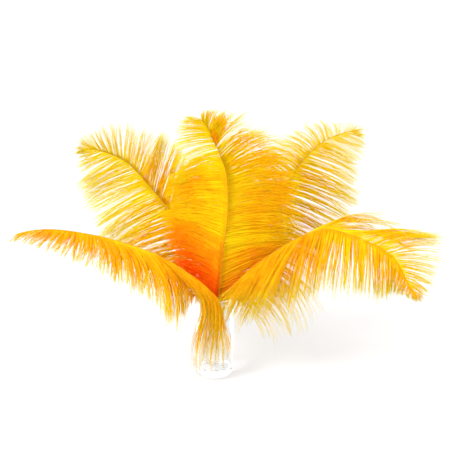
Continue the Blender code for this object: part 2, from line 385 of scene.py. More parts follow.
@dataclass(frozen=True)
class Station:
    """How the barbs lie at one place along a shaft.

    at is the place, 0 at the mouth of the vase and 1 at the tip.  reach is the barbs' length,
    around their direction about the shaft (0 right, 180 left, 90 to the front) and sweep their
    angle from the shaft, in degrees.  curl turns them toward the tip and fall toward the ground,
    and keep is the share of barbs left there.
    """

    at: float
    reach: float
    around: float
    sweep: float
    curl: float
    fall: float
    keep: float = 1.0


def lay(*rows: tuple) -> tuple[Station, ...]:
    """Return the stations of a row of barbs, from the vase to the tip."""
    return tuple(Station(*row) for row in rows)


@dataclass(frozen=True)
class Groom:
    """How the barbs of a row gather and stray, and how thick they are.

    clump is the usual number of barbs in a clump, gather how far they close up and gather_from where along
    them that starts.  stray, fan and ragged are how unevenly barbs turn, sweep and end, alone the part of stray
    and fan that each has by itself, and broken how far the shortest fall behind.  bend and weigh are the spread
    of curl and fall, between clumps and between barbs.  bulk is a half width as a share of the width, and slim,
    lean and short are the least and most of a barb's width and of a barbule's slant and length, as factors.
    """

    rings: int = 9
    barbules: int = 6
    clump: float = 6.0
    gather: float = 0.6
    gather_from: float = 0.1
    stray: float = 4.0
    fan: float = 2.0
    ragged: float = 0.05
    alone: float = 0.8
    broken: float = 2.4
    bend: tuple = (0.06, 0.05)
    weigh: tuple = (0.12, 0.08)
    wave: float = 0.0014
    root_width: float = 0.0008
    tip_width: float = 0.0004
    bulk: float = 0.55
    slim: tuple = (0.7, 1.25)
    roll: float = 35.0
    barbule_length: float = 0.0032
    barbule_width: float = 0.00025
    lean: tuple = (0.5, 1.3)
    short: tuple = (0.5, 1.2)


@dataclass(frozen=True)
class Vane:
    """One row of barbs: how they lie along the shaft, how many, how they took the dye, and the shade painted at
    their foot.

    dye is added to the whole row; deep is painted shade, more orange at the shaft's foot where the barbs sit deep
    in the bunch, fading up to deep_to; and pale is taken off toward the tip, more and more over pale_over.
    """

    stations: tuple
    barbs: int
    deep: float
    groom: Groom
    deep_to: float = 0.35
    dye: float = 0.0
    pale: float = 0.0
    pale_from: float = 0.65
    pale_over: float = 0.2


class StrandMesh:
    """Joins many closed tapering strands into one mesh."""

    CORNERS = np.radians([90.0, 210.0, 330.0])
    FLATNESS = 0.28
    POINT_SIZE = 1e-5

    def __init__(self) -> None:
        """Start with nothing in it."""
        self.points: list[np.ndarray] = []
        self.faces: list[np.ndarray] = []
        self.along: list[np.ndarray] = []
        self.tint: list[np.ndarray] = []
        self.total = 0

    def join(self, points: np.ndarray, triangles: list, along: np.ndarray, tint: np.ndarray) -> None:
        """Add copies of one small closed shape.

        Args:
            points: Copy by point by 3 array.
            triangles: The shape's triangles, by point number.
            along: The place of each point along its barb, or one for each copy as a column.
            tint: One colour offset per copy.
        """
        copies, size = points.shape[:2]
        start = self.total + np.arange(copies)[:, None, None] * size
        self.faces.append((start + np.array(triangles)[None]).reshape(-1, 3))
        self.points.append(points.reshape(-1, 3))
        self.along.append(np.broadcast_to(along, (copies, size)).ravel())
        self.tint.append(np.repeat(tint, size))
        self.total += copies * size

    def add_strands(self, paths: np.ndarray, across: np.ndarray, radius: np.ndarray, tint: np.ndarray) -> None:
        """Add flat three-sided strands that taper to a point.

        Args:
            paths: Strand by ring by 3 array of centre points.
            across: Strand by ring by 3 array of the directions the strands are wide in.
            radius: Strand by ring array of half widths.
            tint: One colour offset per strand.
        """
        strands, rings = paths.shape[:2]
        lift = np.cross(across, unit(np.gradient(paths, axis=1)))
        ring = (
            across[:, :, None, :] * np.cos(self.CORNERS)[None, None, :, None]
            + lift[:, :, None, :] * (np.sin(self.CORNERS) * self.FLATNESS)[None, None, :, None]
        )
        points = paths[:, :, None, :] + ring * radius[:, :, None, None]
        points[:, -1] = paths[:, -1:, :] + ring[:, -1] * self.POINT_SIZE
        triangles = []
        for k in range(rings - 1):
            for c in range(3):
                a, b = 3 * k + c, 3 * k + (c + 1) % 3
                triangles += [(a, b, b + 3), (a, b + 3, a + 3)]
        end = 3 * (rings - 1)
        triangles += [(2, 1, 0), (end, end + 1, end + 2)]
        along = np.repeat(np.linspace(0.0, 1.0, rings), 3)
        self.join(points.reshape(strands, rings * 3, 3), triangles, along, tint)

    def add_barbules(self, root: np.ndarray, tip: np.ndarray, width: float, along: np.ndarray,
                     tint: np.ndarray) -> None:
        """Add slim closed spikes.

        Args:
            root: Spike by 3 array of the points they grow from.
            tip: Spike by 3 array of their ends.
            width: Width at the root.
            along: Place of each spike along its barb.
            tint: One colour offset per spike.
        """
        heading = unit(tip - root)
        side = unit(np.cross(heading, FRONT + 0.13 * DOWN))
        lift = np.cross(side, heading)
        half = side * width * 0.5
        points = np.stack([root + half, root - half, root + lift * width * 0.4, tip], axis=1)
        self.join(points, [(0, 2, 1), (0, 1, 3), (1, 2, 3), (2, 0, 3)], along[:, None], tint)

    def build(self, name: str) -> bpy.types.Object:
        """Make the joined mesh, with its along and tint attributes.

        Args:
            name: The piece's name.

        Returns:
            The piece.
        """
        points = np.concatenate(self.points).astype(np.float32)
        faces = np.concatenate(self.faces).astype(np.int32)
        mesh = bpy.data.meshes.new(name)
        mesh.vertices.add(len(points))
        mesh.vertices.foreach_set("co", points.ravel())
        mesh.loops.add(faces.size)
        mesh.loops.foreach_set("vertex_index", faces.ravel())
        mesh.polygons.add(len(faces))
        mesh.polygons.foreach_set("loop_start", np.arange(0, faces.size, 3, dtype=np.int32))
        mesh.update(calc_edges=True)
        mesh.validate()
        add_layers(mesh, np.concatenate(self.along), np.concatenate(self.tint))
        item = bpy.data.objects.new(name, mesh)
        bpy.context.scene.collection.objects.link(item)
        return item


@dataclass(frozen=True)
class Vase:
    """The clear tumbler: a turned wall on a thick foot.  Fluff is kept off the wall by the clearance."""

    height: float = 0.103
    rim_radius: float = 0.0245
    foot_radius: float = 0.0215
    wall: float = 0.0025
    floor: float = 0.008
    heel: float = 0.004
    steps: int = 96
    clearance: float = 0.004
    rim_gap: float = 0.002
    foot_ring: float = 0.003

    def keep_off(self, points: np.ndarray) -> np.ndarray:
        """Lift points that would pass through the wall over the rim.

        Args:
            points: An array of points, last axis x, y, z.

        Returns:
            The moved points.
        """
        radius = np.hypot(points[..., 0], points[..., 1])
        inner = self.rim_radius - self.wall - self.clearance
        over = np.clip((radius - inner) / self.clearance, 0.0, 1.0) * (radius < self.rim_radius + self.clearance)
        moved = points.copy()
        moved[..., 2] += np.maximum(self.height + self.rim_gap - points[..., 2], 0.0) * over
        return moved

    def section(self) -> list[tuple[float, float]]:
        """Draw the wall's section, from the inner floor over the rim to the foot.

        Returns:
            Its points, radius and height.
        """

        def arc(x: float, z: float, radius: float, start: float, end: float, count: int) -> list:
            """Return points of an arc, angles in degrees."""
            angles = np.radians(np.linspace(start, end, count))
            return [(x + radius * math.cos(a), z + radius * math.sin(a)) for a in angles]

        rim = self.wall / 2.0
        inner = self.foot_radius - self.wall
        points = [(0.0, self.floor)]
        points += arc(inner - self.heel, self.floor + self.heel, self.heel, -90.0, 0.0, 7)
        points += arc(self.rim_radius - rim, self.height - rim, rim, 180.0, 0.0, 9)
        points += arc(self.foot_radius - self.heel, self.heel, self.heel, 0.0, -90.0, 8)
        points += [(self.foot_radius - self.heel - self.foot_ring, 0.0004), (0.0, 0.0007)]
        return points

    def build(self) -> bpy.types.Object:
        """Turn the wall with the spin tool.

        Returns:
            The vase, with its glass.
        """
        bpy.ops.object.select_all(action="DESELECT")
        bpy.ops.mesh.primitive_plane_add(size=0.001)
        item = bpy.context.object
        item.name = "vase_glass"
        bpy.ops.object.mode_set(mode="EDIT")
        bpy.ops.mesh.select_all(action="SELECT")
        bpy.ops.mesh.merge(type="CENTER")
        here = Vector((0.0, 0.0, 0.0))
        for index, (x, z) in enumerate(self.section()):
            step = Vector((x, 0.0, z)) - here
            if index == 0:
                bpy.ops.transform.translate(value=step)
            else:
                bpy.ops.mesh.extrude_vertices_move(TRANSFORM_OT_translate={"value": step})
            here = Vector((x, 0.0, z))
        bpy.ops.mesh.select_all(action="SELECT")
        bpy.ops.mesh.spin(steps=self.steps, angle=math.tau, center=(0.0, 0.0, 0.0), axis=(0.0, 0.0, 1.0))
        close_mesh(merge=1e-5, crease=40.0)
        item.data.materials.append(ClearGlass().build())
        return item


@dataclass(frozen=True)
class Lock:
    """A loose lock of basal barbs, led by a few guide curves that lie side by side."""

    guides: tuple
    strands: int
    shortest: float
    groom: Groom
    scatter: float = 0.0022
    dye: float = 0.05

    def paths(self, rng: np.random.Generator) -> np.ndarray:
        """Return the strands' centre points.

        Args:
            rng: The random source.

        Returns:
            A strand by ring by 3 array.
        """
        lead = np.stack([smooth_path(guide, GUIDE_POINTS) for guide in self.guides])
        where = np.sort(rng.uniform(0.0, len(self.guides) - 1.0, self.strands))
        low = np.clip(where.astype(int), 0, len(self.guides) - 2)
        share = (where - low)[:, None, None]
        full = lead[low] * (1.0 - share) + lead[low + 1] * share
        last = GUIDE_POINTS - 1
        rings = np.linspace(0.0, 1.0, self.groom.rings)
        reach = last * rng.uniform(self.shortest, 1.0, self.strands)[:, None] * rings
        step = np.clip(reach.astype(int), 0, last - 1)
        part = (reach - step)[..., None]
        index = np.arange(self.strands)[:, None]
        paths = full[index, step] * (1.0 - part) + full[index, step + 1] * part
        along = rings[None, :, None]
        loose = rng.normal(0.0, self.scatter, (self.strands, 1, 3)) * np.array([1.0, 0.7, 0.3])
        phase = rng.uniform(0.0, math.tau, (self.strands, 1, 3))
        sway = np.sin(phase + 5.0 * along) * self.groom.wave * along
        return paths + loose * (0.1 + along**1.4) + sway


@dataclass
class Feather:
    """One plume: the run of its shaft, its two rows of barbs and how they are groomed.

    Radii are in metres.  The quill is cut slim over cut_rings, and bare up to quill_to, a share of quill and
    shaft.  pitch is the share of the shaft over which slow changes run, and uneven the spread of lengths and
    tints.  A split plume has a piece for each row.
    """

    node: str
    quill: tuple
    shaft: tuple
    left: Vane
    right: Vane
    seed: int
    finish: DyedBarbs
    vase: Vase = Vase()
    locks: tuple = ()
    split: bool = False
    base_radius: float = 0.0008
    tip_radius: float = 0.00015
    shaft_rings: int = 60
    cut_rings: int = 6
    groove: float = 0.62
    quill_to: float = 0.30
    quill_fade: float = 0.06
    pitch: float = 0.05
    uneven: float = 0.05

    def on_shaft(self, at: np.ndarray) -> tuple[np.ndarray, np.ndarray]:
        """Find places on the feathered part of the shaft.

        Args:
            at: The places, 0 to 1.

        Returns:
            Their points, and the way the shaft runs there.
        """
        centre = smooth_path(self.shaft, SHAFT_POINTS)
        places = np.linspace(0.0, 1.0, SHAFT_POINTS)
        run = unit(np.gradient(centre, axis=0))
        return sample(centre, places, at), unit(sample(run, places, at))

    def barb_paths(self, stations: tuple, at: np.ndarray, rings: int, vary: dict) -> np.ndarray:
        """Lay barbs out from the shaft.

        Args:
            stations: How barbs lie along the row.
            at: The place of each barb along the shaft.
            rings: Points along each barb.
            vary: Per-barb changes: reach and fall as factors, around, sweep and curl added.

        Returns:
            A barb by ring by 3 array.
        """
        root, axis = self.on_shaft(at)
        facing = unit(FRONT - (axis @ FRONT)[:, None] * axis)
        side = np.cross(axis, facing)
        where = [s.at for s in stations]

        def value(name: str) -> np.ndarray:
            """Return one of the stations' values at each barb."""
            return np.interp(at, where, [getattr(s, name) for s in stations])

        reach = (value("reach") * vary["reach"])[:, None, None]
        around = np.radians(value("around") + vary["around"])[:, None]
        sweep = np.radians(value("sweep") + vary["sweep"])[:, None]
        curl = (value("curl") + vary["curl"])[:, None, None]
        fall = (value("fall") * vary["fall"])[:, None, None]
        start = np.cos(sweep) * axis + np.sin(sweep) * (np.cos(around) * side + np.sin(around) * facing)
        share = np.linspace(0.0, 1.0, rings)
        middle = ((share[1:] + share[:-1]) / 2.0)[None, :, None]
        heading = unit(start[:, None, :] + axis[:, None, :] * curl * middle + DOWN * fall * middle**1.3)
        steps = heading * np.diff(share)[None, :, None] * reach
        return root[:, None, :] + np.concatenate([np.zeros_like(root)[:, None], np.cumsum(steps, axis=1)], axis=1)

    def row_paths(self, vane: Vane, rng: np.random.Generator) -> tuple[np.ndarray, ...]:
        """Lay out one row of barbs, gathered into small clumps.

        Args:
            vane: The row.
            rng: The random source.

        Returns:
            The barbs' centre points, barb by ring by 3, the direction each is wide in, how thick each is as a
            factor, and a tint for each.
        """
        groom, stations, count = vane.groom, vane.stations, vane.barbs
        first = stations[0].at
        at = np.sort(np.clip(np.linspace(first, 1.0, count) + rng.normal(0.0, 0.3 / count, count), first, 1.0))
        at = at[rng.random(count) < np.interp(at, [s.at for s in stations], [s.keep for s in stations])]
        count = len(at)
        clump = np.repeat(np.arange(count), np.maximum(1, rng.poisson(groom.clump, count)))[:count]
        clumps = int(clump[-1]) + 1
        lead_at = np.array([at[clump == k].mean() for k in range(clumps)])
        slow_reach = drift(rng, lead_at, self.pitch, self.uneven)
        slow_sweep = drift(rng, lead_at, self.pitch * 1.2, groom.fan * 1.2)
        # Clumps sweep up to three times as unevenly over the last fifth.
        wild_tip = 1.0 + np.clip(lead_at / 0.1 - 8.0, 0.0, 2.0)
        lead = {
            "reach": 1.0 + slow_reach + rng.normal(0.0, self.uneven, clumps),
            "around": drift(rng, lead_at, self.pitch, groom.stray) + rng.normal(0.0, groom.stray, clumps),
            "sweep": slow_sweep + rng.normal(0.0, groom.fan, clumps) * wild_tip,
            "curl": rng.normal(0.0, groom.bend[0], clumps),
            "fall": 1.0 + rng.normal(0.0, groom.weigh[0], clumps),
        }
        own = {
            "reach": lead["reach"][clump]
            + groom.ragged * (rng.normal(0.0, 1.0, count) - groom.broken * rng.random(count) ** 3),
            "around": lead["around"][clump] + rng.normal(0.0, groom.stray * groom.alone, count),
            "sweep": lead["sweep"][clump] + rng.normal(0.0, groom.fan * groom.alone, count),
            "curl": lead["curl"][clump] + rng.normal(0.0, groom.bend[1], count),
            "fall": lead["fall"][clump] * (1.0 + rng.normal(0.0, groom.weigh[1], count)),
        }
        leaders = self.barb_paths(stations, lead_at, groom.rings, lead)[clump]
        paths = self.barb_paths(stations, at, groom.rings, own)
        share = np.linspace(0.0, 1.0, groom.rings)[None, :, None]
        ease = np.clip((share - groom.gather_from) / (1.0 - groom.gather_from), 0.0, 1.0)
        hold = groom.gather * ease**0.8 * rng.beta(1.4, 0.9, (count, 1, 1))
        paths = leaders + (paths - leaders) * (1.0 - hold)
        phase = rng.uniform(0.0, math.tau, (clumps, 1, 3))[clump] + rng.normal(0.0, 0.5, (count, 1, 3))
        pace = rng.uniform(3.0, 8.0, (clumps, 1, 3))[clump]
        paths += np.sin(phase + pace * share) * groom.wave * share**1.2
        tint = drift(rng, lead_at, 0.08, self.uneven) + rng.normal(0.0, 0.04, clumps)
        tint = tint[clump] + rng.normal(0.0, self.uneven, count)
        # Painted shade: barbs near the shaft's foot, deep in the bunch, are made more orange by deep, fading out
        # at deep_to.
        tint += vane.dye + vane.deep * np.clip(1.0 - at / vane.deep_to, 0.0, 1.0)
        tint -= vane.pale * np.clip((at - vane.pale_from) / vane.pale_over, 0.0, 1.0)
        thick = np.interp(at, [0.0, 0.55, 1.0], [1.0, 1.0, 0.6])
        return self.vase.keep_off(paths), self.on_shaft(at)[1], thick, tint

    @staticmethod
    def add_row(strands: StrandMesh, groom: Groom, paths: np.ndarray, wide: np.ndarray, thick: np.ndarray,
                tint: np.ndarray, rng: np.random.Generator) -> None:
        """Add barbs and the barbules along them to a strand mesh.

        Args:
            strands: The mesh being joined.
            groom: How thick the barbs and barbules are.
            paths: The barbs' centre points.
            wide: The direction each barb is wide in before it turns.
            thick: How thick each barb is, as a factor.
            tint: A tint for each barb.
            rng: The random source.
        """
        count, rings = paths.shape[:2]
        share = np.linspace(0.0, 1.0, rings)[None, :]
        width = groom.tip_width + (groom.root_width - groom.tip_width) * (1.0 - share) ** 1.3
        width = width * (0.8 + 0.2 * np.clip(share / 0.2, 0.0, 1.0))
        radius = width * groom.bulk * thick[:, None] * rng.uniform(*groom.slim, (count, 1))
        line = unit(np.gradient(paths, axis=1))
        flat = unit(wide[:, None, :] - (line * wide[:, None, :]).sum(axis=-1, keepdims=True) * line)
        roll, twist = rng.normal(0.0, groom.roll, (count, 1)), rng.normal(0.0, groom.roll, (count, 1))
        roll = np.radians(roll + twist * share)
        across = flat * np.cos(roll)[..., None] + np.cross(line, flat) * np.sin(roll)[..., None]
        strands.add_strands(paths, across, radius, tint)
        barbules = groom.barbules
        where = (np.arange(barbules)[None, :] + rng.uniform(0.0, 1.0, (count, barbules))) / barbules
        where = 0.04 + 0.94 * where
        spot = where * (rings - 1)
        low = np.clip(spot.astype(int), 0, rings - 2)
        part = (spot - low)[..., None]
        index = np.arange(count)[:, None]
        root = paths[index, low] * (1.0 - part) + paths[index, low + 1] * part
        heading = unit(paths[index, low + 1] - paths[index, low])
        sign = np.where(rng.random((count, barbules, 1)) < 0.5, -1.0, 1.0)
        lean = unit(heading * rng.uniform(*groom.lean, (count, barbules, 1)) + across[index, low] * sign
                    + rng.normal(0.0, 0.25, heading.shape))
        length = groom.barbule_length * rng.uniform(*groom.short, (count, barbules, 1))
        length = length * (1.0 - 0.45 * where[..., None])
        tip = root + lean * length
        strands.add_barbules(root.reshape(-1, 3), tip.reshape(-1, 3), groom.barbule_width, where.ravel(),
                             np.repeat(tint, barbules) + rng.normal(0.0, 0.05, count * barbules))

    def build_plumage(self) -> list[bpy.types.Object]:
        """Join the barbs and barbules of the plume.

        Returns:
            The plumage, one piece, or one for each row and one for the locks if it is split.
        """
        rng = np.random.default_rng(self.seed)
        finish = self.finish.build()
        pieces = []
        strands = StrandMesh()
        for row in Row:
            vane = getattr(self, row.value)
            self.add_row(strands, vane.groom, *self.row_paths(vane, rng), rng)
            if self.split:
                pieces.append(strands.build(f"{self.node}_{row.value}_plumage"))
                strands = StrandMesh()
        for lock in self.locks:
            paths = self.vase.keep_off(lock.paths(rng))
            wide = np.tile(np.array([1.0, 0.0, 0.0]), (len(paths), 1))
            tint = rng.normal(lock.dye, 0.06, len(paths))
            self.add_row(strands, lock.groom, paths, wide, np.ones(len(paths)), tint, rng)
        if strands.total:
            pieces.append(strands.build(self.node + "_plumage"))
        for piece in pieces:
            piece.data.materials.append(finish)
        return pieces

    def build_shaft(self) -> bpy.types.Object:
        """Make the quill and shaft, a tapering rod with a shallow groove at the back.

        Returns:
            The shaft.
        """
        bpy.ops.object.select_all(action="DESELECT")
        bpy.ops.curve.primitive_nurbs_circle_add(radius=1.0)
        section = bpy.context.object
        back = 6
        for index, point in enumerate(section.data.splines[0].points):
            x, y, z, w = point.co
            point.co = (x, y * 0.9 * (self.groove if index == back else 1.0), z, w)
        section.data.resolution_u = 3
        bpy.ops.object.select_all(action="DESELECT")
        bpy.ops.curve.primitive_nurbs_path_add()
        item = bpy.context.object
        item.name = self.node + "_shaft"
        curve = item.data
        path = smooth_path(self.quill + self.shaft, self.shaft_rings)
        curve.splines.clear()
        spline = curve.splines.new("POLY")
        spline.points.add(len(path) - 1)
        share = np.linspace(0.0, 1.0, len(path))
        radius = self.tip_radius + (self.base_radius - self.tip_radius) * (1.0 - share) ** 1.3
        radius[: self.cut_rings] *= np.linspace(0.55, 1.0, self.cut_rings)
        for point, place, size in zip(spline.points, path, radius):
            point.co = (*place, 1.0)
            point.radius = size
        curve.bevel_mode = "OBJECT"
        curve.bevel_object = section
        curve.use_fill_caps = True
        bpy.ops.object.convert(target="MESH")
        bpy.data.objects.remove(section, do_unlink=True)
        bpy.ops.object.mode_set(mode="EDIT")
        close_mesh(merge=1e-6, crease=60.0)
        self.mark_along(item.data, path)
        item.data.materials.append(DyedShaft(self.node + "_horn").build())
        return item

    def mark_along(self, mesh: bpy.types.Mesh, path: np.ndarray) -> None:
        """Give the shaft's points their places along it, and take the dye off the bare quill.

        Args:
            mesh: The shaft's mesh.
            path: Its centre line.
        """
        points = np.empty(len(mesh.vertices) * 3)
        mesh.vertices.foreach_get("co", points)
        gaps = np.linalg.norm(points.reshape(-1, 1, 3) - path[None], axis=-1)
        along = gaps.argmin(axis=1) / (len(path) - 1)
        add_layers(mesh, along, -np.clip((self.quill_to - along) / self.quill_fade, 0.0, 1.0))

    def build(self) -> list[bpy.types.Object]:
        """Build the plume's pieces and put them in place of its solid.

        Returns:
            The plumage and the shaft.
        """
        pieces = [*self.build_plumage(), self.build_shaft()]
        for piece in pieces:
            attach(piece, "root")
            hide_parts(self.node)
        return pieces


# ---- The bunch ----


COMBED = Groom(clump=3.0, gather=0.4, gather_from=0.4, stray=1.0, fan=1.1, ragged=0.085, wave=0.0008, roll=8.0,
               root_width=0.00095, tip_width=0.00042)
LOOSE = Groom(gather=0.5, gather_from=0.05, stray=3.5, tip_width=0.00034)
SHAGGY = Groom(barbules=7, clump=9.0, gather=0.8, gather_from=0.3, stray=4.5, root_width=0.001, tip_width=0.00036)
HANGING = Groom(barbules=7, clump=7.0, gather=0.65, gather_from=0.35, stray=4.0, fan=1.6, ragged=0.08,
                root_width=0.001, tip_width=0.00036)
WISPY = Groom(rings=11, barbules=9, barbule_length=0.0024, wave=0.002)


# The upright plume in the middle, combed and dense.
CENTER = Feather(
    node="feather_center",
    quill=((.000, .002, .0098), (.003, .0015, .058)),
    shaft=((.004, .001, .088), (.005, .001, .101), (.009, .006, .149), (.016, .014, .206),
           (.014, .015, .254), (.007, .011, .276), (-.006, -.005, .311), (-.014, -.014, .325)),
    # The left row gets more painted shade at its foot than the right, as the plume's left half lies in shade.
    left=Vane(lay(
        (.00, .036, 170, 76, .1, .2), (.05, .052, 170, 68, .1, .3), (.10, .064, 170, 56, .15, .45),
        (.15, .071, 170, 53, .15, .6), (.24, .078, 174, 60, .1, .6), (.43, .077, 180, 72, .0, .6),
        (.62, .073, 183, 78, .0, .65, .95), (.72, .069, 183, 78, .0, .7, .8),
        (.81, .062, 182, 78, -.1, .6, .42), (.88, .047, 180, 62, -.1, .4, .5),
        (.93, .038, 178, 46, -.1, .25, .8), (1.0, .022, 178, 24, .0, .1, .6),
    ), barbs=1850, deep=1.2, deep_to=0.36, dye=0.05, pale=0.25, groom=COMBED),
    right=Vane(lay(
        (.00, .038, 12, 74, .1, .2), (.05, .056, 12, 66, .1, .3), (.12, .077, 12, 53, .15, .5),
        (.17, .090, 12, 55, .1, .55), (.33, .093, 14, 67, .05, .6), (.57, .090, 18, 68, .1, .7),
        (.68, .084, 20, 64, .2, .8, .9), (.74, .080, 20, 58, .2, .9, .5), (.80, .070, 18, 52, .2, .9, .34),
        (.86, .054, 14, 46, .2, .8, .36), (.94, .027, 8, 44, .1, .2, .7), (1.0, .012, 10, 30, .0, .0, .7),
    ), barbs=1850, deep=0.75, deep_to=0.26, dye=0.04, pale=0.15, groom=COMBED),
    locks=(Lock(guides=(
        ((-.003, -.002, .303), (-.001, -.007, .316), (-.001, -.010, .330)),
        ((-.001, .001, .297), (.005, -.004, .313), (.008, -.009, .331)),
        ((.002, .005, .289), (.011, -.002, .309), (.017, -.008, .330)),
    ), strands=150, shortest=0.8, dye=0.42, scatter=0.0012, groom=WISPY),),
    seed=13, split=True,
    finish=DyedBarbs("center_fluff", thin=(0.97, 0.77, 0.004), tip=(0.92, 0.77, 0.006), tip_from=0.7,
                     depth=0.03, outward=0.14),
)

# The plume that arches to the upper left, in open locks.
BACK_LEFT = Feather(
    node="feather_back_left",
    quill=((.012, .007, .0098), (.008, .007, .058)),
    shaft=((.001, .006, .099), (-.012, .015, .130), (-.044, .033, .186), (-.081, .046, .229),
           (-.105, .048, .256), (-.122, .046, .267), (-.142, .042, .275), (-.160, .038, .277)),
    left=Vane(lay(
        (.03, .050, 180, 46, .1, .4), (.20, .084, 178, 64, .1, .6), (.40, .098, 175, 72, .0, .45),
        (.60, .092, 175, 72, .0, .3), (.78, .066, 175, 62, .0, .15), (.90, .034, 175, 42, .0, .1),
        (1.0, .009, 175, 20, .0, .0),
    ), barbs=1150, deep=0.5, deep_to=0.75, pale=0.12, groom=LOOSE),
    right=Vane(lay(
        (.03, .050, 3, 35, .3, .3), (.20, .062, 4, 45, .1, .3), (.45, .072, 5, 52, .0, .4),
        (.62, .068, 5, 60, -.1, .2), (.75, .056, 5, 60, -.1, .0), (.90, .031, 5, 50, .0, .0),
        (1.0, .008, 5, 20, .0, .0),
    ), barbs=980, deep=0.75, deep_to=0.8, dye=0.06, groom=LOOSE),
    seed=11,
    finish=DyedBarbs("back_left_fluff", thin=(0.93, 0.76, 0.01), tip=(0.84, 0.74, 0.03), depth=-0.04),
)

# The plume that arches to the upper right, in open locks.
BACK_RIGHT = Feather(
    node="feather_back_right",
    quill=((-.006, .0125, .0098), (.001, .013, .058)),
    shaft=((.009, .0115, .097), (.029, .028, .133), (.055, .042, .176), (.082, .050, .219),
           (.104, .054, .253), (.120, .053, .273), (.147, .045, .293), (.172, .034, .301)),
    left=Vane(lay(
        (.03, .045, 184, 45, .1, .3), (.30, .060, 182, 50, .1, .3), (.50, .062, 178, 66, -.1, .4),
        (.65, .058, 175, 80, -.1, .6), (.80, .034, 175, 82, -.2, .5), (.90, .018, 175, 70, -.2, .3, .6),
        (1.0, .008, 175, 20, .0, .0, .5),
    ), barbs=980, deep=0.5, deep_to=0.75, groom=LOOSE),
    right=Vane(lay(
        (.03, .056, 0, 46, .1, .4, .5), (.30, .087, 3, 68, .1, .5, .6), (.50, .096, 5, 76, .0, .4),
        (.70, .077, 5, 68, .0, .4), (.88, .042, 5, 45, .0, .3, .8), (1.0, .009, 5, 14, .0, .0, .5),
    ), barbs=1150, deep=0.25, deep_to=0.75, dye=0.08, pale=0.12, groom=LOOSE),
    seed=12,
    finish=DyedBarbs("back_right_fluff", thin=(0.95, 0.78, 0.01), tip=(0.90, 0.78, 0.02), depth=0.0),
)

# The plume that runs out level to the left, nearly edge on, with its loose lock.
FRONT_LEFT = Feather(
    node="feather_front_left",
    quill=((.010, -.010, .0098), (.008, -.010, .058)),
    shaft=((.003, -.0095, .101), (-.017, -.018, .126), (-.034, -.026, .143), (-.067, -.042, .170),
           (-.102, -.056, .189), (-.134, -.066, .202), (-.185, -.080, .214), (-.218, -.086, .211)),
    left=Vane(lay(
        (.15, .038, 118, 162, .9, 1.9, .3), (.25, .050, 118, 160, 1.0, 2.0, .4),
        (.33, .074, 120, 158, 1.0, 1.8, .8), (.40, .092, 120, 156, 1.0, 1.8),
        (.46, .092, 122, 152, 1.0, 1.8), (.52, .074, 125, 148, .9, 1.8), (.58, .060, 128, 142, .9, 1.7),
        (.64, .050, 130, 132, .9, 1.6), (.70, .038, 133, 108, .9, 1.4), (.77, .032, 135, 78, .8, 1.1),
        (.84, .030, 138, 46, .4, .8, .8), (.90, .026, 135, 30, .0, .5, .45),
        (1.0, .014, 130, 22, .0, .2, .3),
    ), barbs=1200, deep=0.1, dye=0.1, pale=-0.1, groom=SHAGGY),
    right=Vane(lay(
        (.15, .034, -118, 150, .9, 1.9, .2), (.25, .044, -118, 148, 1.0, 2.0, .3),
        (.33, .062, -120, 142, 1.0, 1.8, .6), (.40, .078, -120, 138, 1.0, 1.8),
        (.46, .076, -122, 134, 1.0, 1.8), (.52, .062, -125, 130, .9, 1.8), (.60, .048, -128, 120, .9, 1.7),
        (.70, .034, -133, 96, .9, 1.4), (.77, .030, -135, 66, .7, 1.1), (.84, .028, -138, 38, .4, .7),
        (.90, .024, -140, 22, .0, .4, .4), (1.0, .012, -140, 18, .0, .1, .3),
    ), barbs=800, deep=0.3, pale=-0.1, groom=SHAGGY),
    locks=(Lock(guides=(
        ((-.072, -.044, .174), (-.045, -.043, .149), (-.019, -.041, .119), (-.014, -.040, .102),
         (-.020, -.039, .081), (-.027, -.038, .060), (-.030, -.038, .041), (-.030, -.038, .023)),
        ((-.058, -.038, .163), (-.031, -.040, .139), (-.011, -.039, .115), (-.009, -.038, .097),
         (-.014, -.038, .075), (-.019, -.038, .052), (-.021, -.038, .028), (-.021, -.038, .005)),
        ((-.043, -.032, .152), (-.021, -.035, .133), (-.004, -.036, .112), (-.002, -.036, .095),
         (-.005, -.036, .072), (-.009, -.036, .048), (-.012, -.036, .022)),
        ((-.029, -.026, .139), (-.010, -.031, .124), (.003, -.034, .107), (.005, -.035, .091),
         (.002, -.035, .066), (-.002, -.035, .040), (-.002, -.035, .008)),
        ((-.019, -.021, .128), (-.004, -.028, .117), (.007, -.033, .103), (.010, -.034, .087),
         (.014, -.034, .069), (.019, -.034, .050), (.022, -.034, .032)),
    ), strands=390, shortest=0.5, dye=0.12, groom=WISPY),),
    seed=14,
    finish=DyedBarbs("front_left_fluff", thin=(0.97, 0.70, 0.005), tip=(0.82, 0.70, 0.02),
                     depth=0.29, glow=0.35),
)

